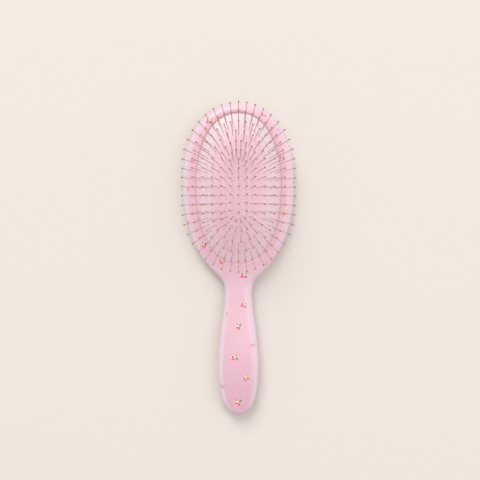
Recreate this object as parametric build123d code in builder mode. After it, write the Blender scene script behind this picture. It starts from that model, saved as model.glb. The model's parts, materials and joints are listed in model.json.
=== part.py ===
"""A cushioned vanity hairbrush, lying on its back with the bristles up.

Millimetres. +Z up, +Y towards the top of the head, -Y towards the end of the handle.
The origin is under the middle of the brush, on the plane that the back lies on.
"""

import math
import os

from build123d import *

# ---- driving dimensions -------------------------------------------------------------
LENGTH = 235.0  # the whole brush, top of the head to the end of the handle
HEAD_WIDTH = 83.8  # widest part of the head
HEAD_TOP = 63.2  # from the widest part of the head up to its top
NECK_WIDTH = 20.6
GRIP_WIDTH = 30.3

WALL = 2.2  # both housings
PARTING_Z = 6.2  # where the two housings meet
HEAD_Z = 13.0  # front face of the rim round the cushion
FRONT_ROUND = 6.0  # edge rounding of the front housing
BACK_ROUND = 5.4  # edge rounding of the back housing
SEAM_BREAK = 0.25  # small step that shows as the seam between the housings
TONGUE_IN = 0.8  # the tongue on the back housing, from the outside of the wall
TONGUE_THICK = 0.7
TONGUE_HIGH = 1.0
TONGUE_GAP = 0.1

PAD_HALF_WIDTH = 31.9
PAD_HALF_LENGTH = 56.1
PAD_POWER = 2.2  # the pad's outline is a slightly full oval
PAD_THICK = 1.6
PAD_RISE = 9.8  # height of the cushion's dome
DOME_POWER = 2.6  # how late the dome falls away towards its edge
PAD_FLANGE = 2.2  # how far the pad runs under the rim
PAD_SKIRT = 1.2  # the pad is thicker for this much inside its edge
LIP = 1.6  # thickness of the rim over the pad's flange
LIP_GAP = 0.3  # between the cushion and the rim
LIP_ROUND = 1.2

RING_THICK = 1.8  # clamp ring under the flange
RING_IN = -2.0  # the ring's inner edge, from the pad's outline
RING_OUT = 4.9
STAKE_OUT = 3.4  # heat stakes stand this far outside the pad's outline
STAKE_R = 0.7
STAKE_HEAD_R = 1.25
STAKE_HEAD = 0.8
STAKE_HEAD_TAPER = 25.0  # degrees
STAKE_ROOT = 0.6  # how far they start inside the rim
STAKE_GAP = 0.04
STAKES = 12
POST_OUT = 0.9  # posts in the back housing that hold the clamp ring up
POST_R = 1.5

BRISTLE_R = 0.3
BRISTLE_LENGTH = 21.5  # from the cushion's surface to the end of the bristle, about
BRISTLE_HOLE_R = 0.34
FOOT_R = 0.9
FOOT_THICK = 0.7
FOOT_GAP = 0.08
BEAD_R = 0.72
BEAD_SOCKET = 0.25  # the bristle ends this far past the middle of its bead
# how the bristles fan out: their slope for each mm from the middle of the rows
FAN_ACROSS = 0.0144
FAN_SIDES = 0.0179  # more of it across, towards the cushion's sides
FAN_FADE = 1.05  # how soon that extra is lost towards the cushion's ends
FAN_ALONG = 0.0053
FAN_EDGE = 0.0058  # more of it along, towards the cushion's edge

ROWS_DOWN = 0.4  # the rows are centred this far below the middle of the cushion
ROW_PITCH = 5.75  # along the brush
COLUMN_PITCH = 4.65  # across the brush
ROWS = 7  # bristles in the centre row, and on each straight side of every ring
# number of the ring: (bristles round each end, row pitch, turn of the ends in degrees)
RINGS = {
    1: (17, ROW_PITCH, 0.0),
    2: (17, ROW_PITCH, 0.0),
    3: (13, ROW_PITCH, 0.0),
    4: (8, ROW_PITCH, -3.5),
    5: (8, ROW_PITCH, 0.0),
    6: (4, 5.35, 0.0),
}

PEG_R = 1.2  # pegs on the front housing that fit sockets on the back one
PEG_BOTTOM = 4.0
PEG_GAP = 0.05
SOCKET_R = 2.4
SOCKET_FLOOR = 3.7
RIB_THICK = 1.2  # stiffening ribs inside the back housing
RIB_TOP = 5.9
FLOOR_RIB_TOP = 4.2
FLOOR_RIBS = (9, 20)  # how far inside the cushion's outline
MIDDLE_RIB_SHORT = 9.5  # the middle rib stops this far inside the cushion's outline

# ---- places worked out from them ----------------------------------------------------
TOP_Y = LENGTH / 2
HEAD_Y = TOP_Y - HEAD_TOP  # widest part of the head
PAD_Y = HEAD_Y - 1.2  # middle of the cushion
ROWS_Y = PAD_Y - ROWS_DOWN
PAD_EDGE_Z = HEAD_Z - LIP  # top of the pad's flange
RING_TOP_Z = PAD_EDGE_Z - PAD_THICK
RING_BOTTOM_Z = RING_TOP_Z - RING_THICK
CEILING_Z = HEAD_Z - WALL
PAD_TOP_Z = PAD_EDGE_Z + PAD_RISE
BRISTLE_TO = BRISTLE_LENGTH + PAD_THICK + FOOT_GAP + FOOT_THICK  # from the foot's underside
REACH = 100.0  # longer than anything it is used on

# side view of the handle: (place along the brush, height) of its back and of its front
FLAT_END = HEAD_Y - 61.0  # the head is flat as far as here, and the handle is curved after
PAST = TOP_Y + 10.0  # the side view runs past both ends of the outline
BACK_WAIST = (HEAD_Y - 94, 1.5)
BACK_GRIP = (HEAD_Y - 131, 0.1)
BACK_END = (-PAST, 4.4)
FRONT_WAIST = (HEAD_Y - 88, HEAD_Z - 0.6)
FRONT_GRIP = (HEAD_Y - 131, HEAD_Z + 1.7)
FRONT_END = (-PAST, HEAD_Z - 0.8)
END_SLOPE = 0.2  # of both curves at the end of the handle

# pegs of the front housing, down the handle: (y, top of the peg, bottom of its socket)
PEGS = ((HEAD_Y - 84, 11.4, 2.7), (HEAD_Y - 118, 13.2, 1.2), (HEAD_Y - 152, 13.2, 1.8))
RIBS = (HEAD_Y - 72, HEAD_Y - 95, HEAD_Y - 107, HEAD_Y - 129, HEAD_Y - 141)

# one side of the outline, top to bottom, from the widest part of the head
OUTLINE = (
    (24.8, 53.4),
    (37.2, 33.6),
    (HEAD_WIDTH / 2, 0),
    (38.5, -28.3),
    (25.6, -56.0),
    (16.2, -66.4),
    (11.3, -72.6),
    (NECK_WIDTH / 2, -79.5),
    (11.3, -92.5),
    (13.6, -110.5),
    (GRIP_WIDTH / 2, -134.5),
    (13.3, -155.4),
    (8.0, -167.6),
)


# ---- shapes that are used more than once ----------------------------------------------
def outline_points(inset=0.0, count=64):
    """The body's outline, or one inside it that keeps the same distance all round."""
    right = [(x, HEAD_Y + up) for x, up in OUTLINE]
    left = [(-x, y) for x, y in reversed(right)]
    around = [(0, TOP_Y)] + right + [(0, TOP_Y - LENGTH)] + left
    if not inset:
        return around
    edge = Edge.make_spline([Vector(x, y, 0) for x, y in around], periodic=True)
    points = []
    for i in range(count):
        here, way = edge.position_at(i / count), edge.tangent_at(i / count)
        side = Vector(-way.Y, way.X, 0)
        if side.dot(here - Vector(0, here.Y * 0.6, 0)) > 0:
            side = side * -1
        points.append((here.X + side.X * inset, here.Y + side.Y * inset))
    return points


def oval_points(grow=0.0, count=48):
    """The pad's outline, or one outside it by the same distance all round."""
    points = []
    for i in range(count):
        turn = 2 * math.pi * i / count
        c, s = math.cos(turn), math.sin(turn)
        x = PAD_HALF_WIDTH * math.copysign(abs(c) ** (2 / PAD_POWER), c)
        y = PAD_HALF_LENGTH * math.copysign(abs(s) ** (2 / PAD_POWER), s)
        out_x = math.copysign(abs(x) ** (PAD_POWER - 1), x) / PAD_HALF_WIDTH**PAD_POWER
        out_y = math.copysign(abs(y) ** (PAD_POWER - 1), y) / PAD_HALF_LENGTH**PAD_POWER
        size = math.hypot(out_x, out_y)
        points.append((x + grow * out_x / size, PAD_Y + y + grow * out_y / size))
    return points


def area(points):
    """A face inside one smooth closed curve."""
    with BuildSketch() as flat:
        with BuildLine():
            Spline(*points, periodic=True)
        make_face()
    return flat.sketch


def slab(points, low, high):
    """The area between two heights."""
    with BuildPart() as block:
        with BuildSketch(Plane.XY.offset(low)):
            add(area(points))
        extrude(amount=high - low)
    return block.part


def band(outer, inner, low, high):
    """A closed band that follows the body's outline between two insets and two heights."""
    with BuildPart() as loop:
        add(slab(outline_points(outer), low, high))
        add(slab(outline_points(inner), low - 1, high + 1), mode=Mode.SUBTRACT)
    return loop.part


def body_blank(inset=0.0):
    """The closed outside of the body, or the hollow inside it when inset by the wall."""
    low, high = inset, HEAD_Z - inset

    def raised(point):
        return point[0], point[1] + inset

    def lowered(point):
        return point[0], point[1] - inset

    with BuildPart() as blank:
        add(slab(outline_points(inset), -REACH, REACH))
        with BuildSketch(Plane.YZ):
            with BuildLine():
                Line((PAST, low), (FLAT_END, low))
                Spline(
                    (FLAT_END, low),
                    raised(BACK_WAIST),
                    raised(BACK_GRIP),
                    raised(BACK_END),
                    tangents=((-1, 0), (-1, END_SLOPE)),
                )
                Line(raised(BACK_END), lowered(FRONT_END))
                Spline(
                    lowered(FRONT_END),
                    lowered(FRONT_GRIP),
                    lowered(FRONT_WAIST),
                    (FLAT_END, high),
                    tangents=((1, END_SLOPE), (1, 0)),
                )
                Line((FLAT_END, high), (PAST, high))
                Line((PAST, high), (PAST, low))
            make_face()
        extrude(amount=REACH, both=True, mode=Mode.INTERSECT)
        rims = blank.edges().filter_by(GeomType.LINE, reverse=True)
        rims = rims.filter_by(lambda edge: edge.bounding_box().size.X > 1)
        fillet(rims.filter_by(lambda edge: edge.center().Z > HEAD_Z / 2), FRONT_ROUND - inset)
        rims = blank.edges().filter_by(GeomType.LINE, reverse=True)
        rims = rims.filter_by(lambda edge: edge.bounding_box().size.X > 1)
        low_rims = rims.filter_by(lambda edge: edge.bounding_box().max.Z < HEAD_Z / 2 - 1)
        fillet(low_rims, BACK_ROUND - inset)
    return blank.part


def radius_share(x, y):
    """0 in the middle of the cushion and 1 at its edge."""
    across = abs(x) / PAD_HALF_WIDTH
    along = abs(y - PAD_Y) / PAD_HALF_LENGTH
    return (across**PAD_POWER + along**PAD_POWER) ** (1 / PAD_POWER)


def dome_z(x, y):
    """Height of the cushion's surface."""
    return PAD_EDGE_Z + PAD_RISE * (1 - radius_share(x, y) ** DOME_POWER)


def dome_face(drop=0.0):
    """The cushion's surface as one smooth face, a little larger than the pad."""
    rows, columns = 41, 29
    grid = []
    for i in range(columns):
        x = (2 * i / (columns - 1) - 1) * (PAD_HALF_WIDTH + 1.5)
        line = []
        for j in range(rows):
            y = PAD_Y + (2 * j / (rows - 1) - 1) * (PAD_HALF_LENGTH + 2.0)
            line.append(Vector(x, y, dome_z(x, y) - drop))
        grid.append(line)
    return Face.make_surface_from_array_of_points(grid, tol=0.01)


def lean(x, y):
    """The way a bristle points, and the way the dome faces where it stands."""
    side, up = x / PAD_HALF_WIDTH, y - ROWS_Y
    end = up / PAD_HALF_LENGTH
    across = x * (FAN_ACROSS + FAN_SIDES * side**2 * math.exp(-FAN_FADE * end**2))
    along = up * (FAN_ALONG + FAN_EDGE * (side**2 + end**2))
    step = 0.01
    dome_across = (dome_z(x - step, y) - dome_z(x + step, y)) / (2 * step)
    dome_along = (dome_z(x, y - step) - dome_z(x, y + step)) / (2 * step)
    return Vector(across, along, 1).normalized(), Vector(dome_across, dome_along, 1).normalized()


def ring_sites(ring):
    """Where a ring's bristles stand: two straight sides joined by two rounded ends."""
    ends, pitch, turn = RINGS[ring]
    steps_in = len(RINGS) + 1 - ring
    wide, high = COLUMN_PITCH * steps_in, ROW_PITCH * steps_in
    straight = ROW_PITCH * (ROWS - 1) / 2
    sites = []
    for row in range(ROWS):
        y = ROWS_Y + pitch * ((ROWS - 1) / 2 - row)
        sites += [(-wide, y), (wide, y)]
    for i in range(ends):
        angle = math.radians(180 * (i + 1) / (ends + 1))
        top, bottom = angle + math.radians(turn), angle - math.radians(turn)
        sites.append((wide * math.cos(top), ROWS_Y + straight + high * math.sin(top)))
        sites.append((wide * math.cos(bottom), ROWS_Y - straight - high * math.sin(bottom)))
    return sites


def centre_sites():
    """The single row down the middle."""
    return [(0, ROWS_Y + ROW_PITCH * ((ROWS - 1) / 2 - row)) for row in range(ROWS)]


def site_planes(sites, along=0.0):
    """A plane square to each bristle, this far along it from the underside of its foot."""
    planes = []
    for x, y in sites:
        way, faces = lean(x, y)
        tilt = way.get_angle(faces)
        skin = PAD_THICK * faces.Z / math.cos(math.radians(tilt))
        foot = skin + FOOT_R * math.tan(math.radians(tilt)) + FOOT_GAP + FOOT_THICK
        start = Vector(x, y, dome_z(x, y)) + way * (along - foot)
        planes.append(Plane(origin=start, x_dir=Vector(0, 1, 0).cross(way), z_dir=way))
    return planes


def bristles(sites):
    """Thin straight bristles, each with a flat round foot that sits under the pad."""
    with BuildPart() as group:
        with BuildSketch(*site_planes(sites)):
            Circle(FOOT_R)
        extrude(amount=FOOT_THICK)
        with BuildSketch(*site_planes(sites)):
            Circle(BRISTLE_R)
        extrude(amount=BRISTLE_TO)
    return group.part


def beads(sites):
    """Round beads, each with a blind socket that its bristle is set in."""
    middles = [Location(plane) for plane in site_planes(sites, BRISTLE_TO - BEAD_SOCKET)]
    with BuildPart() as group:
        with Locations(*middles):
            Sphere(BEAD_R)
        with BuildSketch(*site_planes(sites, BRISTLE_TO - 2 * BEAD_R)):
            Circle(BRISTLE_R)
        extrude(amount=2 * BEAD_R, mode=Mode.SUBTRACT)
    return group.part



# ---- the body, hollow and still in one piece ------------------------------------------
with BuildPart() as housing:
    add(body_blank())
    add(body_blank(WALL), mode=Mode.SUBTRACT)

STAKE_SITES = oval_points(STAKE_OUT, STAKES * 2)[1::2]
POST_SITES = oval_points(POST_OUT, STAKES * 2)[0::2]

# ---- front housing: rim round the cushion and the front of the handle ------------------
with BuildPart() as front_shell:
    add(housing.part)
    split(bisect_by=Plane.XY.offset(PARTING_Z), keep=Keep.TOP)
    # opening for the cushion, with a rounded edge, and the step that its flange lies in
    add(slab(oval_points(LIP_GAP), CEILING_Z - 1, HEAD_Z + 1), mode=Mode.SUBTRACT)
    at_face = front_shell.edges().filter_by(
        lambda edge: abs(edge.bounding_box().min.Z - HEAD_Z) < 0.01
        and abs(edge.bounding_box().size.Y - 2 * (PAD_HALF_LENGTH + LIP_GAP)) < 0.5
    )
    fillet(at_face, LIP_ROUND)
    add(slab(oval_points(PAD_FLANGE + 0.2), RING_TOP_Z - 1, PAD_EDGE_Z), mode=Mode.SUBTRACT)
    add(slab(oval_points(RING_OUT + 0.2), PARTING_Z, RING_TOP_Z), mode=Mode.SUBTRACT)
    # heat stakes through the clamp ring, with their ends melted over into round heads
    with BuildSketch(Plane.XY.offset(RING_BOTTOM_Z)):
        with Locations(*STAKE_SITES):
            Circle(STAKE_R)
    extrude(amount=CEILING_Z + STAKE_ROOT - RING_BOTTOM_Z)
    with BuildSketch(Plane.XY.offset(RING_BOTTOM_Z)):
        with Locations(*STAKE_SITES):
            Circle(STAKE_HEAD_R)
    extrude(amount=-STAKE_HEAD, taper=STAKE_HEAD_TAPER)
    # pegs down the handle
    for y, peg_top, socket_bottom in PEGS:
        with BuildSketch(Plane.XY.offset(PEG_BOTTOM)):
            with Locations((0, y)):
                Circle(PEG_R)
        extrude(amount=peg_top - PEG_BOTTOM)
    # groove for the tongue, and this side of the seam
    groove = band(
        TONGUE_IN - TONGUE_GAP,
        TONGUE_IN + TONGUE_THICK + TONGUE_GAP,
        PARTING_Z - 1,
        PARTING_Z + TONGUE_HIGH + TONGUE_GAP,
    )
    add(groove, mode=Mode.SUBTRACT)
    add(band(-1, SEAM_BREAK, PARTING_Z - 1, PARTING_Z + SEAM_BREAK), mode=Mode.SUBTRACT)

# ---- back housing: the flat back of the head and the back of the handle -----------------
with BuildPart() as rib_blank:
    with Locations(*[(0, y, RIB_TOP / 2) for y in RIBS]):
        Box(REACH, RIB_THICK, RIB_TOP)
    add(body_blank(WALL / 2), mode=Mode.INTERSECT)

with BuildPart() as back_shell:
    add(housing.part)
    split(bisect_by=Plane.XY.offset(PARTING_Z), keep=Keep.BOTTOM)
    add(band(TONGUE_IN, TONGUE_IN + TONGUE_THICK, PARTING_Z - 1, PARTING_Z + TONGUE_HIGH))
    add(band(-1, SEAM_BREAK, PARTING_Z - SEAM_BREAK, PARTING_Z + 1), mode=Mode.SUBTRACT)
    add(rib_blank.part)
    # posts that hold the clamp ring up
    with BuildSketch(Plane.XY.offset(WALL - 1)):
        with Locations(*POST_SITES):
            Circle(POST_R)
    extrude(amount=RING_BOTTOM_Z - WALL + 1)
    # low stiffening ribs on the floor of the head
    for inside in FLOOR_RIBS:
        with BuildSketch(Plane.XY.offset(WALL - 1)):
            add(area(oval_points(-inside)))
            add(area(oval_points(-inside - RIB_THICK)), mode=Mode.SUBTRACT)
        extrude(amount=FLOOR_RIB_TOP - WALL + 1)
    with BuildSketch(Plane.XY.offset(WALL - 1)):
        with Locations((0, PAD_Y)):
            Rectangle(RIB_THICK, 2 * (PAD_HALF_LENGTH - MIDDLE_RIB_SHORT))
    extrude(amount=FLOOR_RIB_TOP - WALL + 1)
    # sockets down the handle
    for y, peg_top, socket_bottom in PEGS:
        with BuildSketch(Plane.XY.offset(socket_bottom)):
            with Locations((0, y)):
                Circle(SOCKET_R)
        extrude(amount=PARTING_Z + 1 - socket_bottom)
    for y, peg_top, socket_bottom in PEGS:
        with BuildSketch(Plane.XY.offset(SOCKET_FLOOR)):
            with Locations((0, y)):
                Circle(PEG_R + PEG_GAP)
        extrude(amount=REACH, mode=Mode.SUBTRACT)

# ---- the rubber cushion: a thin dome, thicker round its edge, with a flange --------------
SITES = {ring: ring_sites(ring) for ring in RINGS}
ALL_SITES = [site for ring in RINGS for site in SITES[ring]] + centre_sites()

with BuildPart() as cushion_hollow:
    add(slab(oval_points(-PAD_SKIRT), RING_TOP_Z - 2, PAD_TOP_Z))
    split(bisect_by=dome_face(PAD_THICK), keep=Keep.BOTTOM)

with BuildPart() as cushion_pad:
    add(slab(oval_points(), RING_TOP_Z, PAD_TOP_Z + 1))
    split(bisect_by=dome_face(), keep=Keep.BOTTOM)
    with BuildSketch(Plane.XY.offset(RING_TOP_Z)):
        add(area(oval_points(PAD_FLANGE)))
        add(area(oval_points(-PAD_SKIRT / 2)), mode=Mode.SUBTRACT)
    extrude(amount=PAD_THICK)
    add(cushion_hollow.part, mode=Mode.SUBTRACT)
    with BuildSketch(*site_planes(ALL_SITES)):
        Circle(BRISTLE_HOLE_R)
    extrude(amount=2 * PAD_THICK + FOOT_THICK + FOOT_GAP, mode=Mode.SUBTRACT)

# ---- the clamp ring that holds the cushion's flange up under the rim ---------------------
with BuildPart() as clamp_ring:
    with BuildSketch(Plane.XY.offset(RING_BOTTOM_Z)):
        add(area(oval_points(RING_OUT)))
        add(area(oval_points(RING_IN)), mode=Mode.SUBTRACT)
        with Locations(*STAKE_SITES):
            Circle(STAKE_R + STAKE_GAP, mode=Mode.SUBTRACT)
    extrude(amount=RING_THICK)

# ---- bristles and their beads, ring by ring from the outside in --------------------------
groups = {"ring_%d" % ring: SITES[ring] for ring in RINGS}
groups["centre_row"] = centre_sites()

parts = {
    "front_shell": front_shell.part,
    "back_shell": back_shell.part,
    "cushion_pad": cushion_pad.part,
    "clamp_ring": clamp_ring.part,
}
for name, sites in groups.items():
    parts["bristles_" + name] = bristles(sites)
    parts["tips_" + name] = beads(sites)

os.makedirs("parts", exist_ok=True)
for name, part in parts.items():
    part.label = name
    export_step(part, "parts/%s.step" % name)
    size = part.bounding_box().size
    print("%-22s %6.1f x %6.1f x %5.1f mm" % (name, size.X, size.Y, size.Z), "valid", part.is_valid)
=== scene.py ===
# %% [markdown]
# # A vanity hairbrush, lying on its back with the bristles up
# The brush is two glossy moulded halves with a pearly pink finish and a scattered print of
# rosebuds, a soft air-filled rubber cushion let into the head, and a few hundred thin bristles
# that stand in the cushion and end in round beads. The CAD model gives every place and size.
# This lesson dresses it: the halves keep their CAD shape and get a finish, and the cushion and
# the bristles are made again in more detail, in the space that their CAD solids hold.

# %% Load the frame
import json
import math

import bpy
import numpy as np
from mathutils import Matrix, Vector


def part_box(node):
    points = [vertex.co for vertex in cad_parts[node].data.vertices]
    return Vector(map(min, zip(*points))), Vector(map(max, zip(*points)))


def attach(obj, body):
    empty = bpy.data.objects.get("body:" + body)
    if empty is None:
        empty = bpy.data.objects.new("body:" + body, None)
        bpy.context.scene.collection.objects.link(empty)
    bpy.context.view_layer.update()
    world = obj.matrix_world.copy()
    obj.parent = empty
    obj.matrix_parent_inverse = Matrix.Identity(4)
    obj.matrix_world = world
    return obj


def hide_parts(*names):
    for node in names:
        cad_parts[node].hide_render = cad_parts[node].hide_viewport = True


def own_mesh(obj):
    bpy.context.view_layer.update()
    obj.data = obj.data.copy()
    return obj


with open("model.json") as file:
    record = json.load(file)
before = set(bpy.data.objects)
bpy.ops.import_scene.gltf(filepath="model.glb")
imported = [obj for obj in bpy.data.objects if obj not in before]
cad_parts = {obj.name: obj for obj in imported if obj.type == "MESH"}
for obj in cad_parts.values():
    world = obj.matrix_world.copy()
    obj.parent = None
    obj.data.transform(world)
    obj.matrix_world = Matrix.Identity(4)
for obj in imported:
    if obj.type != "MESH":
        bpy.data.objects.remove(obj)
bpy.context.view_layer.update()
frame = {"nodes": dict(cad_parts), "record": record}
nodes = frame["nodes"]

# %% [markdown]
# ## Sizes
# All sizes are in metres. What the CAD model knows is read from it, so that nothing has to be
# fitted: the cushion's edge, its height and the way every bristle points.

# %% Sizes
MM = 0.001
pad_low, pad_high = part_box("cushion_pad")
front_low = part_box("front_shell")[0]
PAD_FLANGE = 2.2 * MM  # the pad reaches this far under the rim
PAD_THICK = 1.6 * MM
RIM_LIP = 1.6 * MM  # how thick the rim is over the pad's edge
PAD_POWER = 2.2  # the oval is a little fuller than an ellipse
DOME_POWER = 2.6  # how late the dome falls away
PAD_HALF_WIDTH = (pad_high.x - pad_low.x) / 2 - PAD_FLANGE
PAD_HALF_LENGTH = (pad_high.y - pad_low.y) / 2 - PAD_FLANGE
PAD_Y = (pad_high.y + pad_low.y) / 2
PAD_EDGE_Z = pad_low.z + PAD_THICK
PAD_RISE = pad_high.z - PAD_EDGE_Z
HEAD_FACE_Z = PAD_EDGE_Z + RIM_LIP
GRIP_Y = front_low.y + 75 * MM  # the swell of the handle
HANDLE_END_Y = front_low.y + 10 * MM  # where the handle starts to round off
print("cushion half width", round(PAD_HALF_WIDTH, 4), "half length", round(PAD_HALF_LENGTH, 4))

# %% [markdown]
# ## Shader sums
# A shader's maths is a chain of small nodes, and long chains are hard to read as node calls.
# Here a socket is wrapped in a class that knows + - * /, so a mask can be written as a sum.
# Every other node comes from one method that takes its type, its settings and its inputs.

# %% Shader helpers


class Sum:
    """A number socket that can be used in a sum."""

    def __init__(self, paint, socket):
        self.paint = paint
        self.socket = socket

    def _do(self, operation, first, second):
        return self.paint.node("ShaderNodeMath", {"operation": operation}, [first, second])

    def __add__(self, other):
        return self._do("ADD", self, other)

    def __sub__(self, other):
        return self._do("SUBTRACT", self, other)

    def __rsub__(self, other):
        return self._do("SUBTRACT", other, self)

    def __mul__(self, other):
        return self._do("MULTIPLY", self, other)

    __radd__ = __add__
    __rmul__ = __mul__

    def size(self):
        """The number without its sign."""
        return self._do("ABSOLUTE", self, 0.0)

    def most(self, other):
        """The larger of two numbers."""
        return self._do("MAXIMUM", self, other)


class Paint:
    """One material and its nodes."""

    def __init__(self, name, **fixed):
        self.material = bpy.data.materials.new(name)
        self.material.use_nodes = True
        self.tree = self.material.node_tree
        self.shader = self.tree.nodes["Principled BSDF"]
        self.place = self.node("ShaderNodeTexCoord", output="Object")
        self.faces = Sum(self, self.place.socket.node.outputs["Normal"])
        for socket, value in fixed.items():
            self.shader.inputs[socket.replace("_", " ")].default_value = value

    def node(self, kind, settings=None, inputs=(), output=0):
        made = self.tree.nodes.new(kind)
        for name, value in (settings or {}).items():
            setattr(made, name, value)
        pairs = inputs.items() if isinstance(inputs, dict) else enumerate(inputs)
        for key, value in pairs:
            if isinstance(value, Sum):
                self.tree.links.new(value.socket, made.inputs[key])
            else:
                made.inputs[key].default_value = value
        return Sum(self, made.outputs[output])

    def mix(self, share, first, second):
        """From the first colour to the second, by a share of 0 to 1."""
        inputs = {0: share, 6: first, 7: second}
        return self.node("ShaderNodeMix", {"data_type": "RGBA"}, inputs, output=2)

    def ease(self, value, start, end, low=0.0, high=1.0):
        """A smooth step of a value between start and end."""
        smooth = {"interpolation_type": "SMOOTHSTEP"}
        return self.node("ShaderNodeMapRange", smooth, [value, start, end, low, high])

    def vector(self, operation, first, second=(0, 0, 0), output=0):
        return self.node("ShaderNodeVectorMath", {"operation": operation}, [first, second], output)

    def scaled(self, vector, share):
        return self.node("ShaderNodeVectorMath", {"operation": "SCALE"}, {0: vector, "Scale": share})

    def part(self, vector, axis):
        return self.node("ShaderNodeSeparateXYZ", {}, [vector], output=axis)

    def noise(self, size, detail):
        """A cloudy value whose patches are about this size, in metres."""
        inputs = {"Vector": self.place, "Scale": 1 / size, "Detail": detail}
        return self.node("ShaderNodeTexNoise", {}, inputs)

    def bump(self, height, distance, strength=1.0, under=None):
        inputs = {"Height": height, "Distance": distance, "Strength": strength}
        if under is not None:
            inputs["Normal"] = under
        return self.node("ShaderNodeBump", {}, inputs)

    def connect(self, **links):
        for socket, value in links.items():
            self.tree.links.new(value.socket, self.shader.inputs[socket.replace("_", " ")])
        return self.material


def colour(code):
    """A colour written as in a paint book, for a shader, which counts light linearly."""
    parts = [int(code[i : i + 2], 16) / 255 for i in (1, 3, 5)]
    return (*[p / 12.92 if p <= 0.04045 else ((p + 0.055) / 1.055) ** 2.4 for p in parts], 1.0)


def dress(node, material):
    """Gives a CAD node a finish and leaves its shape alone."""
    nodes[node].data.materials.clear()
    nodes[node].data.materials.append(material)


print("shader helpers ready:", Sum.__name__, Paint.__name__)

# %% [markdown]
# ## The rosebud print
# On the real brush the print is a thin film under the gloss: small roses, each with a few
# leaves, scattered with no two alike in turn and size. A picture could be wrapped round the
# brush, but a drawn one stays sharp at any distance and needs no file. Each rose has a place on
# the face of the brush, and the point being coloured is measured from the nearest one. Petals
# and leaves are then soft-edged ovals in that rose's own small plan.
#
# The sides of a moulding turn away from the face, so a flat projection would smear the roses
# there. The plan is unrolled instead: where the surface turns down, the place slides outward by
# the depth already passed.

# %% Where the roses are
# x, y and size in millimetres, turn in degrees, and how strongly each is printed
FRONT_ROSES = [
    (-22.4, 103.3, 5.6, 0, 1.0),
    (-0.7, 111.0, 3.6, 40, 0.45),
    (18.7, 108.2, 4.6, -10, 0.8),
    (30.1, 97.1, 3.8, 25, 0.45),
    (-34.2, 74.3, 4.4, 15, 0.7),
    (31.8, 76.8, 4.8, -5, 0.75),
    (-38.3, 51.9, 3.4, 120, 0.6),
    (34.9, 34.4, 4.2, 20, 0.55),
    (-39.8, 26.0, 4.6, 200, 0.9),
    (-26.2, 9.9, 5.0, 70, 0.85),
    (-12.8, -1.8, 5.0, 30, 0.85),
    (20.8, -3.9, 4.0, 80, 0.45),
    (3.5, -12.2, 5.4, 0, 0.95),
    (3.5, -34.3, 5.0, -10, 0.9),
    (-9.8, -41.2, 3.2, 150, 0.55),
    (-0.3, -50.8, 5.2, 75, 0.9),
    (10.1, -63.9, 4.2, 20, 0.55),
    (-3.4, -73.6, 5.2, 10, 0.9),
    (4.9, -88.8, 5.0, 25, 0.85),
    (-12.4, -94.3, 4.6, -15, 0.7),
    (-0.5, -107.0, 5.6, 70, 0.95),
    (44.6, 58.0, 4.8, 60, 0.9),
    (-45.6, 86.0, 4.6, 10, 0.9),
    (16.4, -40.0, 4.4, 200, 0.85),
    (19.0, -84.0, 4.6, 130, 0.85),
    (-36.0, -8.0, 4.4, 30, 0.85),
]
BACK_ROSES = [
    (-18.0, 98.0, 5.6, 20, 1.0),
    (9.0, 104.0, 4.8, -30, 0.9),
    (28.0, 88.0, 5.2, 60, 0.95),
    (-33.0, 76.0, 4.6, 150, 0.9),
    (-8.0, 80.0, 5.6, 0, 1.0),
    (15.0, 69.0, 4.4, 100, 0.9),
    (35.0, 60.0, 5.2, -20, 0.9),
    (-24.0, 52.0, 5.4, 40, 1.0),
    (2.0, 48.0, 5.0, 190, 0.9),
    (24.0, 38.0, 5.6, 10, 1.0),
    (-36.0, 30.0, 4.6, 80, 0.9),
    (-11.0, 24.0, 5.2, -40, 0.95),
    (12.0, 14.0, 4.8, 130, 0.9),
    (-20.0, 4.0, 5.0, 30, 0.95),
    (27.0, 8.0, 4.4, 220, 0.9),
    (3.0, -8.0, 5.4, 0, 1.0),
    (-4.0, -30.0, 5.0, 60, 0.95),
    (7.0, -46.0, 4.6, -20, 0.9),
    (-7.0, -61.0, 5.4, 110, 1.0),
    (6.0, -77.0, 5.0, 10, 0.95),
    (-5.0, -94.0, 5.4, 40, 1.0),
    (9.0, -106.0, 4.4, 160, 0.9),
    (46.0, 84.0, 4.6, 30, 0.9),
    (-46.0, 52.0, 4.8, 10, 0.9),
    (17.0, -64.0, 4.4, 80, 0.9),
]
print("roses in front", len(FRONT_ROSES), "and behind", len(BACK_ROSES))

# %% [markdown]
# ## One rose
# A rose this small needs no drawn outline, only the right few blots: three leaves in three
# greens, a pale cup, darker petals under it and a deep pink heart. Each blot is an oval with a
# soft edge, and the edge wanders a little, as ink does.

# %% One rose
# leaves, then petals: middle, half sizes, turn, edge softness and colour, in rose widths
ROSE = [
    ((0.02, 0.42), (0.17, 0.10), 80, 0.20, "#c3d755"),
    ((0.34, 0.22), (0.20, 0.10), 40, 0.20, "#93b23a"),
    ((0.36, -0.22), (0.19, 0.13), -38, 0.20, "#64891f"),
    ((-0.12, -0.04), (0.34, 0.31), 0, 0.14, "#f39ab4"),
    ((-0.18, -0.24), (0.25, 0.12), -18, 0.25, "#e2547f"),
    ((0.12, -0.16), (0.18, 0.10), 40, 0.25, "#ee7d9d"),
    ((0.06, 0.08), (0.16, 0.18), 15, 0.25, "#fff2f5"),
    ((-0.32, 0.04), (0.10, 0.16), 10, 0.25, "#fbd3de"),
    ((-0.12, 0.09), (0.18, 0.16), 0, 0.20, "#e8668b"),
    ((-0.13, 0.10), (0.10, 0.085), 0, 0.25, "#b51c42"),
]
ROSE_REACH = 0.75  # no petal or leaf is further out than this, in rose widths
WOBBLE = 0.09  # how far the print's edges wander, in rose widths
WOBBLES = 5.0  # how many times they wander across a rose
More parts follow.
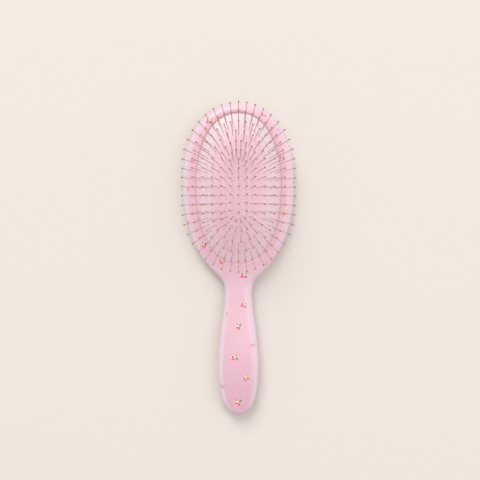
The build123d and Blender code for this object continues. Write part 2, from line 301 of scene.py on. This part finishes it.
FAR = 9.0  # metres, well away from every rose
print("ovals in a rose", len(ROSE))

# %% [markdown]
# ## Printing the roses
# The functions here unroll the surface, find the rose that is near, turn the place into that
# rose's own plan, and lay its blots over the ground colour, one after the other.

# %% Printing the roses


def print_plan(paint, face_z, downward):
    """The place on the face, unrolled over the sides, in metres with no height."""
    height = paint.part(paint.place, 2)
    depth = face_z - height if downward else height - face_z
    out = paint.scaled(paint.faces, depth)
    moved = paint.vector("ADD", paint.place, out)
    return paint.vector("MULTIPLY", moved, (1, 1, 0))


def own_plan(paint, plan, middle, turn, size, mark=0.0):
    """A plan measured from a middle, turned and counted in sizes. Its third number is a mark."""
    inputs = [plan, (*middle, -mark), (0, 0, math.radians(turn)), (*size, 1)]
    return paint.node("ShaderNodeMapping", {"vector_type": "TEXTURE"}, inputs)


def nearest_rose(paint, plan, roses):
    """The plan of whichever rose is near. Far from all of them it is out of every petal."""
    best = paint.vector("ADD", plan, (FAR, FAR, 0))
    for x, y, size, turn, strength in roses:
        size = size * MM
        mine = own_plan(paint, plan, (x * MM, y * MM), turn, (size, size), strength)
        flat = paint.vector("MULTIPLY", mine, (1, 1, 0))
        away = paint.vector("LENGTH", flat, output=1)
        inside = paint.node("ShaderNodeMath", {"operation": "LESS_THAN"}, [away, ROSE_REACH])
        choice = {0: inside, 4: best, 5: mine}
        best = paint.node("ShaderNodeMix", {"data_type": "VECTOR"}, choice, output=1)
    return best


def add_roses(paint, ground, plan, roses):
    """The ground colour with the roses printed on it, and the print's mask."""
    rose = nearest_rose(paint, plan, roses)
    strength = paint.part(rose, 2)
    flat = paint.vector("MULTIPLY", rose, (1, 1, 0))
    drift = {"Vector": rose, "Scale": WOBBLES, "Detail": 2.0}
    drift = paint.node("ShaderNodeTexNoise", {}, drift, output=1)
    drift = paint.vector("SUBTRACT", drift, (0.5, 0.5, 0.5))
    flat = paint.vector("ADD", flat, paint.vector("MULTIPLY", drift, (WOBBLE, WOBBLE, 0)))
    shade = ground
    covered = None
    for middle, half, turn, soft, code in ROSE:
        away = paint.vector("LENGTH", own_plan(paint, flat, middle, turn, half), output=1)
        mask = paint.ease(away, 1 + soft, 1 - soft) * strength
        shade = paint.mix(mask, shade, colour(code))
        covered = mask if covered is None else covered.most(mask)
    return shade, covered


print("rose functions ready")

# %% [markdown]
# ## Pearly plastic
# Pearl pigment is thin mica flakes in a clear pink plastic, and the flakes give the gloss a very
# fine life. The pink is deepest where the surface is flat on. Where it turns away it is painted
# paler and cooler, almost lilac: a painted sheen for the lamps' reflection on the rounded edges,
# kept off the slopes that face the handle's end. The slopes that face the head's top, towards the
# key lamp, are painted a little greyer, a painted shade, the handle is painted darker towards its
# end, also painted shade, and the steepest sides are a deeper pink. A clear coat on top makes the
# broad soft reflections.

# %% The pearly plastic of the two halves


def pearly_plastic(name, face_z, downward, roses):
    paint = Paint(name, Coat_Roughness=0.2, Specular_IOR_Level=0.5)
    upright = paint.part(paint.faces, 2)
    flatness = upright.size()
    cloud = paint.noise(size=38 * MM, detail=3.0)
    flake = paint.noise(size=0.35 * MM, detail=1.0)
    rose_pink = paint.mix(paint.ease(cloud, 0.3, 0.7), colour("#e4b4c5"), colour("#e7bdcd"))
    # painted shade: the handle darkens towards its end, where its face turns down from the lamp
    end = paint.ease(paint.part(paint.place, 1), GRIP_Y, HANDLE_END_Y)
    rose_pink = paint.mix(end * 0.8, rose_pink, colour("#d19eb1"))
    # painted sheen: paler lilac on the rounded edges for the lamps' reflection, less on slopes facing
    # the handle's end
    to_end = paint.ease(paint.part(paint.faces, 1), -0.15, -0.75)
    painted_sheen = paint.ease(flatness, 0.998, 0.78) * (1 - to_end * 0.9)
    shade = paint.mix(painted_sheen * 0.8, rose_pink, colour("#e6d2e2"))
    # painted shade: slopes facing the head's top, towards the key lamp, are made a little greyer
    lamp_side = paint.ease(paint.part(paint.faces, 1), 0.1, 0.6)
    shade = paint.mix(lamp_side * 0.4, shade, colour("#d6bccb"))
    away = paint.ease(flatness, 0.5, 0.05)
    shade = paint.mix(away * 0.9, shade, colour("#e6a9bc"))
    shade = paint.mix(paint.ease(flake, 0.35, 0.75) * 0.16, shade, colour("#fff6fb"))
    plan = print_plan(paint, face_z, downward)
    shade, printed = add_roses(paint, shade, plan, roses)
    haze = paint.noise(size=9 * MM, detail=3.0)
    rough = 0.3 + haze * 0.1 + flake * 0.06 + printed * 0.05
    fine = paint.bump(flake, 0.004 * MM, 0.5)
    sink = paint.noise(size=24 * MM, detail=1.0)
    return paint.connect(
        Base_Color=shade,
        Roughness=rough,
        Coat_Weight=0.45 + haze * 0.2,
        Normal=paint.bump(sink, 0.12 * MM, 0.5, under=fine),
    )


dress("front_shell", pearly_plastic("pearly_front", HEAD_FACE_Z, True, FRONT_ROSES))
dress("back_shell", pearly_plastic("pearly_back", 0.0, False, BACK_ROSES))
print("pearly plastic on", [nodes[name].name for name in ("front_shell", "back_shell")])

# %% [markdown]
# ## The clamp ring
# Inside the head a plain moulded ring holds the cushion's edge up under the rim. It is out of
# sight, so it keeps its CAD shape and gets a simple moulding finish with faint flow marks.

# %% The clamp ring


def inner_plastic():
    paint = Paint("clamp_plastic")
    flow = paint.noise(size=6 * MM, detail=4.0)
    grain = paint.noise(size=0.25 * MM, detail=2.0)
    shade = paint.mix(paint.ease(flow, 0.3, 0.7), colour("#ddc9cd"), colour("#e9dadc"))
    return paint.connect(
        Base_Color=shade,
        Roughness=0.5 + grain * 0.15,
        Normal=paint.bump(grain, 0.02 * MM),
    )


dress("clamp_ring", inner_plastic())
print("inner plastic on", nodes["clamp_ring"].name)

# %% [markdown]
# ## The air cushion
# The cushion is one thin rubber moulding. Air under it pushes it up into a dome, and its edge is
# a flat flange that runs under the rim. The shape follows a rule, so it is made from that rule:
# closed loops of points, from the middle of the top out to the flange and back in underneath,
# all on the same full oval. Skinning the loops gives a closed wall with even faces.

# %% The cushion's mesh
AROUND = 288  # points in each loop
FINE = 7200  # steps for measuring round the oval
FIRST_SHARE = 0.012  # the first loop, close round the middle
ROLL_SHARE = 0.97  # the dome's rule holds to here, and then the edge rolls under the rim
CORNER = 0.25 * MM
CORNER_DROP = 0.3 * MM
UNDER_RIM = 0.02 * MM  # the flange's gap below the rim


def share_point(turn, share, out=0.0):
    """A point of the oval at a share of its size, and out from it by a distance."""
    c = math.cos(turn)
    s = math.sin(turn)
    x = PAD_HALF_WIDTH * math.copysign(abs(c) ** (2 / PAD_POWER), c)
    y = PAD_HALF_LENGTH * math.copysign(abs(s) ** (2 / PAD_POWER), s)
    nx = math.copysign(abs(x) ** (PAD_POWER - 1), x) / PAD_HALF_WIDTH**PAD_POWER
    ny = math.copysign(abs(y) ** (PAD_POWER - 1), y) / PAD_HALF_LENGTH**PAD_POWER
    size = math.hypot(nx, ny)
    return share * x + out * nx / size, PAD_Y + share * y + out * ny / size


def even_turns(count):
    """Turns that put the points of the oval at even distances."""
    fine = [share_point(2 * math.pi * i / FINE, 1.0) for i in range(FINE + 1)]
    steps = [math.dist(a, b) for a, b in zip(fine, fine[1:])]
    walked = np.concatenate([[0], np.cumsum(steps)])
    wanted = np.linspace(0, walked[-1], count, endpoint=False)
    return np.interp(wanted, walked, np.linspace(0, 2 * math.pi, FINE + 1))


def dome_height(share):
    return PAD_EDGE_Z + PAD_RISE * (1 - share**DOME_POWER)


def cushion_loops():
    """(share, out, height) of each loop, from the top's middle round to the underside's."""
    top = [(s, 0.0, dome_height(s)) for s in np.linspace(FIRST_SHARE, ROLL_SHARE, 80)]
    roll = []
    for step in np.linspace(0, 1, 9)[1:]:
        share = ROLL_SHARE + (1 - ROLL_SHARE) * step
        height = dome_height(share) * (1 - step**3) + (PAD_EDGE_Z + 0.05 * MM) * step**3
        roll.append((share, 0.0, height))
    bottom = PAD_EDGE_Z - PAD_THICK
    edge = [
        (1.0, 0.6 * PAD_FLANGE, PAD_EDGE_Z - UNDER_RIM),
        (1.0, PAD_FLANGE - CORNER, PAD_EDGE_Z - UNDER_RIM),
        (1.0, PAD_FLANGE, PAD_EDGE_Z - CORNER_DROP),
        (1.0, PAD_FLANGE, bottom + CORNER_DROP),
        (1.0, PAD_FLANGE - CORNER, bottom),
        (0.99, 0.0, bottom),
    ]
    under = [(s, 0.0, dome_height(s) - PAD_THICK) for s in np.linspace(0.95, FIRST_SHARE, 40)]
    return top + roll + edge + under


def skin(loops, turns):
    """A closed mesh over loops that all have the same turns."""
    points = []
    faces = []
    count = len(turns)
    for share, out, height in loops:
        points += [(*share_point(t, share, out), height) for t in turns]
    for level in range(len(loops) - 1):
        for i in range(count):
            j = (i + 1) % count
            a = level * count
            b = a + count
            faces.append((a + i, b + i, b + j, a + j))
    top = len(points)
    bottom = top + 1
    points += [(0.0, PAD_Y, loops[0][2]), (0.0, PAD_Y, loops[-1][2])]
    last = (len(loops) - 1) * count
    for i in range(count):
        j = (i + 1) % count
        faces += [(top, i, j), (bottom, last + j, last + i)]
    return points, faces


def new_piece(name, points, faces, material):
    mesh = bpy.data.meshes.new(name)
    mesh.from_pydata(points, [], faces)
    mesh.validate()
    mesh.shade_smooth()
    mesh.materials.append(material)
    piece = bpy.data.objects.new(name, mesh)
    bpy.context.scene.collection.objects.link(piece)
    return piece


print("loops", len(cushion_loops()), "of", AROUND, "points")

# %% [markdown]
# ## Cushion rubber
# The rubber is pink and slightly pearly too, with a soft satin surface. Where it turns towards its
# edge it is painted paler, a painted sheen for the lamp's reflection, strongest and most neutral
# on the slope that faces the head's top, where the key lamp is. Dust and handling leave it
# unevenly matt.

# %% The cushion's rubber


def cushion_rubber():
    paint = Paint("cushion_rubber", Specular_IOR_Level=0.5, Coat_Roughness=0.3)
    upright = paint.part(paint.faces, 2)
    cloud = paint.noise(size=30 * MM, detail=3.0)
    pores = paint.noise(size=0.4 * MM, detail=3.0)
    shade = paint.mix(paint.ease(cloud, 0.3, 0.7), colour("#e7bcca"), colour("#ecc5d3"))
    # painted sheen: paler where the dome turns down, more and greyer on the slope facing the lamp
    painted_sheen = paint.ease(upright, 0.998, 0.88)
    lamp_side = paint.ease(paint.part(paint.faces, 1), 0.0, 0.42)
    painted_sheen_tint = paint.mix(lamp_side, colour("#eedfe8"), colour("#e2dcde"))
    shade = paint.mix(painted_sheen * (0.55 + lamp_side * 0.4), shade, painted_sheen_tint)
    shade = paint.mix(paint.ease(pores, 0.4, 0.8) * 0.12, shade, colour("#fbeef2"))
    return paint.connect(
        Base_Color=shade,
        Roughness=0.42 + cloud * 0.12 + pores * 0.08,
        Coat_Weight=0.3 + cloud * 0.15,
        Normal=paint.bump(pores, 0.012 * MM, 0.5),
    )


rubber = cushion_rubber()
print("finish", rubber.name)

# %% [markdown]
# ## The cushion in its place
# The cushion belongs to the head and doesn't leave it.

# %% The cushion
cushion = new_piece("air_cushion", *skin(cushion_loops(), even_turns(AROUND)), rubber)
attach(cushion, "housing")
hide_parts("cushion_pad")
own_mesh(cushion)
print("cushion faces", len(cushion.data.polygons))

# %% [markdown]
# ## Where the bristles stand
# The CAD model holds every bristle as a separate solid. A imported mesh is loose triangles, so
# corners at the same place are joined first, and then the triangles that share corners are
# gathered into islands, one for each bristle or bead. The foot of a bristle is the lowest part
# of its island along its length, and its bead's middle is where it ends. Where it leaves the
# rubber is found by halving: a point along it is either still under the dome or already above.

# %% Read the bristles
SAME_PLACE = 0.5e-6  # corners nearer than this are one corner
END_SLICE = 0.1 * MM
HALVINGS = 30
DEEPEST = 8 * MM  # every bristle is out of the rubber by here


def islands(node):
    """The corner points of each separate solid in a CAD node."""
    mesh = nodes[node].data
    co = np.zeros(len(mesh.vertices) * 3)
    mesh.vertices.foreach_get("co", co)
    co = co.reshape(-1, 3)
    grid = np.round(co / SAME_PLACE).astype(np.int64)
    keys, first, same = np.unique(grid, axis=0, return_index=True, return_inverse=True)
    same = same.reshape(-1)
    corners = np.zeros(len(mesh.polygons) * 3, np.int32)
    mesh.polygons.foreach_get("vertices", corners)
    triangles = same[corners.reshape(-1, 3)]
    label = np.arange(len(keys))
    while True:
        lowest = label[triangles].min(1)
        new = label.copy()
        for k in range(3):
            np.minimum.at(new, triangles[:, k], lowest)
        new = new[new]
        if (new == label).all():
            break
        label = new
    return [co[first[label == k]] for k in np.unique(label)]


def rubber_depth(foot, way):
    """How far along a bristle, from its foot, the rubber's surface is."""
    near = 0.0
    far = DEEPEST
    for _ in range(HALVINGS):
        middle = (near + far) / 2
        x, y, z = foot + middle * way
        across = abs(x) / PAD_HALF_WIDTH
        along = abs(y - PAD_Y) / PAD_HALF_LENGTH
        share = (across**PAD_POWER + along**PAD_POWER) ** (1 / PAD_POWER)
        if z < dome_height(share):
            near = middle
        else:
            far = middle
    return near


def bristle_lines(group):
    """(foot, way, length to the bead's middle, depth in the rubber) of each bristle."""
    beads = np.array([(i.min(0) + i.max(0)) / 2 for i in islands("tips_" + group)])
    lines = []
    for island in islands("bristles_" + group):
        middle = island.mean(0)
        way = np.linalg.svd(island - middle, full_matrices=False)[2][0]
        way = way if way[2] > 0 else -way
        along = (island - middle) @ way
        foot = island[along < along.min() + END_SLICE].mean(0)
        end = island[along > along.max() - END_SLICE].mean(0)
        bead = beads[np.linalg.norm(beads - end, axis=1).argmin()]
        reach = np.linalg.norm(bead - foot)
        way = (bead - foot) / reach
        lines.append((foot, way, reach, rubber_depth(foot, way)))
    return lines


GROUPS = [name for name in frame["record"]["behaviour"]["bodies"] if name != "housing"]
lines = {group: bristle_lines(group) for group in GROUPS}
print({group: len(found) for group, found in lines.items()})

# %% [markdown]
# ## Bristles with Geometry Nodes
# A few hundred copies of one small shape are what Geometry Nodes are for. The points carry
# three attributes: the way the bristle points, how long it is, and how deep it stands in the
# rubber. A small sway, seeded so that it never changes, bends each bristle a little, as real
# nylon is never quite straight. What the three trees share, such as the sway and the finish at
# the end, is kept in one class.

# %% What the trees share


class Tree:
    """A Geometry Nodes tree with named inputs."""

    def __init__(self, name, inputs):
        self.group = bpy.data.node_groups.new(name, "GeometryNodeTree")
        face = self.group.interface
        face.new_socket(name="Geometry", in_out="INPUT", socket_type="NodeSocketGeometry")
        face.new_socket(name="Geometry", in_out="OUTPUT", socket_type="NodeSocketGeometry")
        self.sockets = {}
        for label, kind in inputs.items():
            self.sockets[label] = face.new_socket(name=label, in_out="INPUT", socket_type=kind)
        self.entry = self.group.nodes.new("NodeGroupInput")
        self.exit = self.group.nodes.new("NodeGroupOutput")

    def node(self, kind, settings=None, inputs=None, output=0):
        made = self.group.nodes.new(kind)
        for name, value in (settings or {}).items():
            setattr(made, name, value)
        for key, value in (inputs or {}).items():
            if isinstance(value, bpy.types.NodeSocket):
                self.group.links.new(value, made.inputs[key])
            else:
                made.inputs[key].default_value = value
        return made.outputs[output]

    def input(self, label):
        return self.entry.outputs[label]

    def attribute(self, name, kind):
        return self.node("GeometryNodeInputNamedAttribute", {"data_type": kind}, {"Name": name})

    def finish(self, geometry, material):
        """Copies made real, swayed, and given their material."""
        real = self.node("GeometryNodeRealizeInstances", {}, {"Geometry": geometry})
        height = self.attribute("height", "FLOAT")
        bend = self.node("ShaderNodeMath", {"operation": "POWER"}, {0: height, 1: 2.0})
        drift = self.scaled(self.attribute("sway", "FLOAT_VECTOR"), bend)
        bent = self.node("GeometryNodeSetPosition", {}, {"Geometry": real, "Offset": drift})
        smooth = self.node("GeometryNodeSetShadeSmooth", {}, {"Geometry": bent})
        done = self.node("GeometryNodeSetMaterial", {}, {"Geometry": smooth, "Material": material})
        self.group.links.new(done, self.exit.inputs[0])

    def swaying_points(self):
        """The points, each with its own small sway."""
        most = self.input("Sway")
        least = self.scaled(most, -1.0)
        spread = {0: least, 1: most, "Seed": self.input("Seed")}
        chance = self.node("FunctionNodeRandomValue", {"data_type": "FLOAT_VECTOR"}, spread)
        return self.stored(self.input("Geometry"), "sway", "FLOAT_VECTOR", chance)

    def stored(self, geometry, name, kind, value):
        """The geometry with a value kept on its points."""
        return self.node(
            "GeometryNodeStoreNamedAttribute",
            {"data_type": kind, "domain": "POINT"},
            {"Geometry": geometry, "Name": name, "Value": value},
        )

    def scaled(self, vector, share):
        settings = {"operation": "SCALE"}
        return self.node("ShaderNodeVectorMath", settings, {0: vector, "Scale": share})

    def slid(self, distance):
        """The swaying points, each moved its own bristle's way by a distance."""
        lift = self.scaled(self.attribute("way", "FLOAT_VECTOR"), distance)
        moved = {"Geometry": self.swaying_points(), "Offset": lift}
        return self.node("GeometryNodeSetPosition", {}, moved)

    def copies(self, points, shape, **more):
        """A copy of a shape on each point, turned its bristle's way."""
        way = {"Vector": self.attribute("way", "FLOAT_VECTOR")}
        turn = self.node("FunctionNodeAlignRotationToVector", {"axis": "Z"}, way)
        inputs = {"Points": points, "Instance": shape, "Rotation": turn, **more}
        return self.node("GeometryNodeInstanceOnPoints", {}, inputs)


COMMON = {"Sway": "NodeSocketVector", "Seed": "NodeSocketInt", "Finish": "NodeSocketMaterial"}
NUMBER = "NodeSocketFloat"
print("inputs of every tree", list(COMMON))

# %% [markdown]
# ## The shafts
# The first tree makes a thin tapering shaft, six-sided because it is hair-thin, stands a copy
# on each point, turns it the point's way and stretches it to length.

# %% The shafts' tree


def shaft_tree():
    tree = Tree("bristle_shafts", {"Root radius": NUMBER, "Tip radius": NUMBER, **COMMON})
    line = tree.node("GeometryNodeCurvePrimitiveLine", {}, {"Start": (0, 0, 0), "End": (0, 0, 1)})
    line = tree.node("GeometryNodeResampleCurve", {}, {"Curve": line, "Count": 6})
    along = tree.node("GeometryNodeSplineParameter")
    radii = {0: along, 3: tree.input("Root radius"), 4: tree.input("Tip radius")}
    taper = tree.node("ShaderNodeMapRange", {}, radii)
    circle = tree.node("GeometryNodeCurvePrimitiveCircle", {}, {"Resolution": 6, "Radius": 1.0})
    tube = {"Curve": line, "Profile Curve": circle, "Scale": taper, "Fill Caps": True}
    shaft = tree.node("GeometryNodeCurveToMesh", {}, tube)
    here = tree.node("GeometryNodeInputPosition")
    height = tree.node("ShaderNodeSeparateXYZ", {}, {0: here}, output=2)
    shaft = tree.stored(shaft, "height", "FLOAT", height)
    reach = tree.attribute("reach", "FLOAT")
    long = tree.node("ShaderNodeCombineXYZ", {}, {0: 1.0, 1: 1.0, 2: reach})
    tree.finish(tree.copies(tree.swaying_points(), shaft, Scale=long), tree.input("Finish"))
    return tree


shafts = shaft_tree()
print("tree", shafts.group.name, list(shafts.sockets))

# %% [markdown]
# ## The collars
# Rubber that is pushed aside by a bristle stands up round it a little. The second tree puts a
# short cone at each place where a bristle leaves the dome. Most of it is rooted in the rubber.

# %% The collars' tree
COLLAR_INPUTS = {
    "Collar radius": NUMBER,
    "Shaft radius": NUMBER,
    "Collar height": NUMBER,
    "Collar root": NUMBER,
    **COMMON,
}


def collar_tree():
    tree = Tree("rubber_collars", COLLAR_INPUTS)
    sizes = {
        "Vertices": 10,
        "Side Segments": 3,
        "Fill Segments": 1,
        "Radius Top": tree.input("Shaft radius"),
        "Radius Bottom": tree.input("Collar radius"),
        "Depth": tree.input("Collar height"),
    }
    cone = tree.node("GeometryNodeMeshCone", {"fill_type": "NGON"}, sizes)
    cone = tree.stored(cone, "height", "FLOAT", 0.0)
    depths = {0: tree.attribute("depth", "FLOAT"), 1: tree.input("Collar root")}
    root = tree.node("ShaderNodeMath", {"operation": "SUBTRACT"}, depths)
    tree.finish(tree.copies(tree.slid(root), cone), tree.input("Finish"))
    return tree


collars = collar_tree()
print("tree", collars.group.name, list(collars.sockets))

# %% [markdown]
# ## The beads
# The third tree puts a round bead on each bristle's end. It has the same sway and the same
# seed as the shafts, so each bead sits on its own bristle.

# %% The beads' tree


def bead_tree():
    tree = Tree("bristle_beads", {"Bead radius": NUMBER, **COMMON})
    sizes = {"Segments": 8, "Rings": 6, "Radius": tree.input("Bead radius")}
    ball = tree.node("GeometryNodeMeshUVSphere", {}, sizes)
    ball = tree.stored(ball, "height", "FLOAT", 1.0)
    ends = tree.slid(tree.attribute("reach", "FLOAT"))
    tree.finish(tree.copies(ends, ball), tree.input("Finish"))
    return tree


beads = bead_tree()
print("tree", beads.group.name, list(beads.sockets))

# %% [markdown]
# ## Bristle and bead finishes
# The bristles are thin nylon in a dusky rose that lets a little light through, and the beads
# are dipped in a darker, glossier resin. Neither is quite even: a bristle is painted paler
# towards its root, a painted glow for the cushion's pink light shining into the nylon, and
# dipped beads vary a little.

# %% Bristle and bead finishes
PALE_TO_Z = PAD_EDGE_Z + 6 * MM
DARK_FROM_Z = PAD_EDGE_Z + 26 * MM


def bristle_nylon():
    paint = Paint("bristle_nylon", Specular_IOR_Level=0.5)
    streak = paint.noise(size=1.5 * MM, detail=2.0)
    # painted light: paler towards the root, for the cushion's light shining into the nylon
    up = paint.ease(paint.part(paint.place, 2), PALE_TO_Z, DARK_FROM_Z)
    shade = paint.mix(up, colour("#dfbcb6"), colour("#b4897c"))
    shade = paint.mix(paint.ease(streak, 0.35, 0.7) * 0.3, shade, colour("#caa098"))
    return paint.connect(Base_Color=shade, Roughness=0.3 + streak * 0.15)


def dipped_bead():
    paint = Paint("dipped_bead", Coat_Weight=0.4, Coat_Roughness=0.1)
    drift = paint.noise(size=4 * MM, detail=2.0)
    fleck = paint.noise(size=0.3 * MM, detail=2.0)
    shade = paint.mix(paint.ease(drift, 0.3, 0.7), colour("#a06f63"), colour("#b07f73"))
    return paint.connect(
        Base_Color=shade,
        Roughness=0.28 + fleck * 0.1,
        Normal=paint.bump(fleck, 0.01 * MM, 0.4),
    )


nylon = bristle_nylon()
resin = dipped_bead()
print("finishes", nylon.name, resin.name)

# %% [markdown]
# ## Growing the bristles
# Each ring of bristles sinks by its own amount when the cushion is pressed, so each is a piece
# of its own. A tree runs on a carrier that holds only the ring's points, and its result is kept
# as a plain mesh, which nothing later can change.

# %% Sizes of the bristles
ROOT_RADIUS = 0.3 * MM
TIP_RADIUS = 0.25 * MM
BEAD_RADIUS = 0.68 * MM
COLLAR_RADIUS = 1.1 * MM
COLLAR_TOP_RADIUS = 0.36 * MM
COLLAR_HEIGHT = 1.0 * MM
COLLAR_ROOT = 0.55 * MM  # this much of a collar is in the rubber, so none lifts off when pressed
SWAY = (0.28 * MM, 0.28 * MM, 0.0)
EDGE_SWAY = (0.06 * MM, 0.28 * MM, 0.0)  # the outer ring keeps to the brush's width
FIRST_SEED = 11
print("bead across", round(2 * BEAD_RADIUS, 5), "shaft across", round(2 * ROOT_RADIUS, 5))

# %% Grow a piece
ATTRIBUTES = ("way", "reach", "depth", "sway", "height")


def grow(name, group, tree, values):
    """Runs a tree on a group's points and keeps the result as a plain mesh."""
    mesh = bpy.data.meshes.new(name + "_points")
    feet, ways, reaches, depths = zip(*lines[group])
    mesh.from_pydata([tuple(foot) for foot in feet], [], [])
    ways = np.array(ways, np.float32).reshape(-1)
    mesh.attributes.new("way", "FLOAT_VECTOR", "POINT").data.foreach_set("vector", ways)
    for label, numbers in (("reach", reaches), ("depth", depths)):
        kept = mesh.attributes.new(label, "FLOAT", "POINT").data
        kept.foreach_set("value", np.array(numbers, np.float32))
    carrier = bpy.data.objects.new(name + "_points", mesh)
    bpy.context.scene.collection.objects.link(carrier)
    modifier = carrier.modifiers.new("grow", "NODES")
    modifier.node_group = tree.group
    for label, value in values.items():
        modifier[tree.sockets[label].identifier] = value
    ready = carrier.evaluated_get(bpy.context.evaluated_depsgraph_get())
    result = bpy.data.meshes.new_from_object(ready)
    result.name = name
    for attribute in ATTRIBUTES:
        if attribute in result.attributes:
            result.attributes.remove(result.attributes[attribute])
    bpy.data.objects.remove(carrier)
    piece = bpy.data.objects.new(name, result)
    bpy.context.scene.collection.objects.link(piece)
    return piece


print("attributes that guide the trees", ATTRIBUTES)

# %% [markdown]
# ## All the bristles
# Shafts, collars and beads of one ring share a seed, so they share their sway. The collars are
# the cushion's rubber, but they ride with the bristles that they stand round.

# %% All bristles
SHAFT_VALUES = {"Root radius": ROOT_RADIUS, "Tip radius": TIP_RADIUS, "Finish": nylon}
BEAD_VALUES = {"Bead radius": BEAD_RADIUS, "Finish": resin}
COLLAR_VALUES = {
    "Collar radius": COLLAR_RADIUS,
    "Shaft radius": COLLAR_TOP_RADIUS,
    "Collar height": COLLAR_HEIGHT,
    "Collar root": COLLAR_ROOT,
    "Finish": rubber,
}
for number, group in enumerate(GROUPS):
    chance = {"Sway": EDGE_SWAY if group == "ring_1" else SWAY, "Seed": FIRST_SEED + number}
    shaft = grow("nylon_" + group, group, shafts, {**SHAFT_VALUES, **chance})
    bead = grow("bead_" + group, group, beads, {**BEAD_VALUES, **chance})
    collar = grow("collar_" + group, group, collars, {**COLLAR_VALUES, **chance})
    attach(collar, group)
    for piece, node, slot in ((shaft, "bristles_", "bristle"), (bead, "tips_", "bead")):
        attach(piece, group)
        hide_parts(node + group)
    print(group, len(shaft.data.polygons), "shaft faces", len(bead.data.polygons), "bead faces")

# %% [markdown]
# ## Table
# The brush lies on a plain cream surface, matt and very slightly uneven in tone, as heavy paper
# is. It is far larger than the brush, so that its edges stay out of sight.

# %% Table


def cream_table():
    paint = Paint("cream_table", Roughness=0.9, Specular_IOR_Level=0.1)
    paper = paint.noise(size=3 * MM, detail=3.0)
    shade = paint.mix(paint.ease(paper, 0.3, 0.7), colour("#dfdbd4"), colour("#e1ddd6"))
    return paint.connect(Base_Color=shade)


TABLE_HALF = 6.0
TABLE_Z = -0.1 * MM  # a hair below the brush, so that the two faces don't fight
corners = [(x * TABLE_HALF, y * TABLE_HALF, TABLE_Z) for x, y in ((-1, -1), (1, -1), (1, 1), (-1, 1))]
floor = new_piece("cream_floor", corners, [(0, 1, 2, 3)], cream_table())
print("table", 2 * TABLE_HALF, "m across")

# %% [markdown]
# ## Light
# A large soft lamp stands high beyond the head and to the left, so the dome and the top of the
# rim are palest, and the shadow falls short and soft towards the handle and the right. A weaker
# lamp on the right opens the shadows. Large lamps far away light evenly, and their reflections
# in the gloss stay broad.

# %% Light


def soft_light(name, place, aim, size, power, tint):
    light = bpy.data.lights.new(name, "AREA")
    light.shape = "RECTANGLE"
    light.size = size
    light.size_y = size
    light.energy = power
    light.color = colour(tint)[:3]
    lamp = bpy.data.objects.new(name, light)
    lamp.location = place
    lamp.rotation_euler = (Vector(aim) - Vector(place)).to_track_quat("-Z", "Y").to_euler()
    bpy.context.scene.collection.objects.link(lamp)


MIDDLE = (0, 0.02, 0.01)
soft_light("key", place=(-0.8, 2.4, 2.7), aim=MIDDLE, size=2.0, power=70.0, tint="#fffcfc")
soft_light("fill", place=(1.6, 0.2, 2.6), aim=MIDDLE, size=1.8, power=17.0, tint="#fdfbff")
print("lights", [light.name for light in bpy.data.lights])

# %% [markdown]
# ## Room light
# A pale even room fills in what the lamps don't reach. The plain view transform keeps the pale
# pinks as they are mixed.

# %% Room light
ROOM_LIGHT = 0.72
world = bpy.data.worlds.new("studio")
bpy.context.scene.world = world
world.use_nodes = True
sky = world.node_tree.nodes["Background"]
sky.inputs["Color"].default_value = colour("#fbf8f5")
sky.inputs["Strength"].default_value = ROOM_LIGHT
bpy.context.scene.view_settings.view_transform = "Standard"
print("room light", ROOM_LIGHT)

# %% [markdown]
# ## Camera
# The camera looks straight down on the middle of the brush. Its lens is worked out from how
# far off it is and how wide a strip it should see.

# %% Camera
CAMERA_DISTANCE = 0.65  # above the brush's face
SEEN_WIDTH = 0.3583  # what the frame covers at that face
SENSOR = 36.0
AIM_X = 1.1 * MM
AIM_Y = 14.1 * MM
camera_data = bpy.data.cameras.new("camera")
camera_data.sensor_width = SENSOR
camera_data.lens = SENSOR * CAMERA_DISTANCE / SEEN_WIDTH
camera = bpy.data.objects.new("camera", camera_data)
camera.location = (AIM_X, AIM_Y, HEAD_FACE_Z + CAMERA_DISTANCE)
bpy.context.scene.collection.objects.link(camera)
bpy.context.scene.camera = camera
print("lens", round(camera_data.lens, 2))

# %% [markdown]
# ## At the end
# The scene is brought up to date.

# %% Update
bpy.context.view_layer.update()
